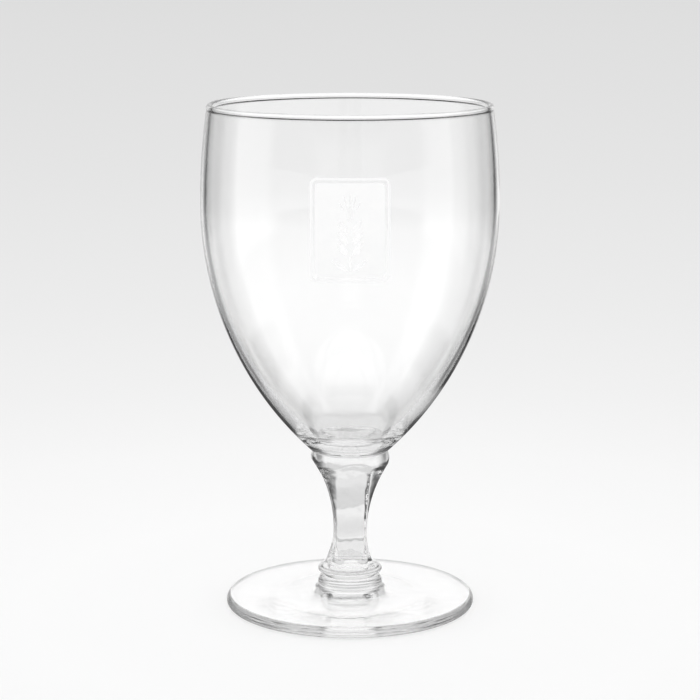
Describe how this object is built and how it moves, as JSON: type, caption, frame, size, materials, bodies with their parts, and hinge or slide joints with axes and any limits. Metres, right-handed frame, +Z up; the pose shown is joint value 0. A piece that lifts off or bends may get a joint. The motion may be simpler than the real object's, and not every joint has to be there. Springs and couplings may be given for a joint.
{
  "type": "chalice beer glass",
  "caption": "Stemmed chalice beer glass: egg-shaped blown bowl with a beaded rim, faceted pressed stem, collar and round foot, with a plain white enamel print.",
  "frame": {"origin": "middle of the foot, on the surface that the glass stands on", "axes": "+Z up along the axis of the glass, -Y towards the printed front, +X to the right as seen from the front"},
  "size_m": [0.0874, 0.0875, 0.15],
  "materials": {
    "clear_glass": "fire-polished clear soda-lime glass",
    "white_enamel": "screen-printed white enamel, fired on, satin gloss"
  },
  "bodies": {
    "root": {"bowl": "clear_glass", "stem": "clear_glass", "collar": "clear_glass", "foot": "clear_glass", "print_panel": "white_enamel", "print_border": "white_enamel"}
  },
  "joints": []
}
